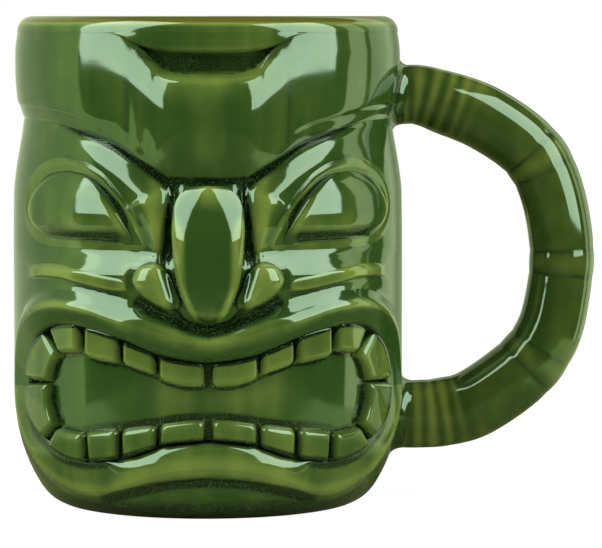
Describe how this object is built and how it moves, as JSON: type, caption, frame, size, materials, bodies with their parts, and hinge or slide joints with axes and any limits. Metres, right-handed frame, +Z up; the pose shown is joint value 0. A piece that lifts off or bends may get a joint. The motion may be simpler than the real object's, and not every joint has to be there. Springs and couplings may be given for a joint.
{
  "type": "tiki mug",
  "caption": "Glazed stoneware drinking mug with a carved tiki face in relief, bared teeth and a bamboo-jointed loop handle.",
  "frame": {"origin": "centre of the standing face under the foot ring, on the cup's axis", "axes": "+Z up along the cup's axis, -Y towards the face's viewer, +X towards the handle"},
  "size_m": [0.1373, 0.0969, 0.114],
  "materials": {
    "cup_glaze": "glossy reactive green glaze over stoneware, olive where thin and near black where it pools",
    "relief_glaze": "the same glossy green glaze, breaking to olive on the raised edges",
    "eye_glaze": "the same glossy green glaze on a smooth dome",
    "tooth_glaze": "the same glossy green glaze, lighter on the flat of each tooth",
    "handle_glaze": "the same glossy green glaze, olive on the bamboo ridges and dark in the grooves",
    "bare_clay": "matt unglazed stoneware"
  },
  "bodies": {
    "root": {"cup_body": "cup_glaze", "foot_ring": "bare_clay", "rim_lip": "relief_glaze", "brow_band": "relief_glaze", "nose_bridge": "relief_glaze", "left_nostril": "relief_glaze", "right_nostril": "relief_glaze", "left_eye": "eye_glaze", "right_eye": "eye_glaze", "left_eyelid": "relief_glaze", "right_eyelid": "relief_glaze", "left_cheekbone": "relief_glaze", "right_cheekbone": "relief_glaze", "upper_lip": "relief_glaze", "lower_lip": "relief_glaze", "chin_roll": "relief_glaze", "handle": "handle_glaze", "upper_handle_collar": "handle_glaze", "lower_handle_collar": "handle_glaze", "upper_tooth_1": "tooth_glaze", "upper_tooth_2": "tooth_glaze", "upper_tooth_3": "tooth_glaze", "upper_tooth_4": "tooth_glaze", "upper_tooth_5": "tooth_glaze", "upper_tooth_6": "tooth_glaze", "upper_tooth_7": "tooth_glaze", "upper_tooth_8": "tooth_glaze", "upper_tooth_9": "tooth_glaze", "upper_tooth_10": "tooth_glaze", "lower_tooth_1": "tooth_glaze", "lower_tooth_2": "tooth_glaze", "lower_tooth_3": "tooth_glaze", "lower_tooth_4": "tooth_glaze", "lower_tooth_5": "tooth_glaze", "lower_tooth_6": "tooth_glaze", "lower_tooth_7": "tooth_glaze", "lower_tooth_8": "tooth_glaze", "lower_tooth_9": "tooth_glaze", "lower_tooth_10": "tooth_glaze"}
  },
  "joints": []
}
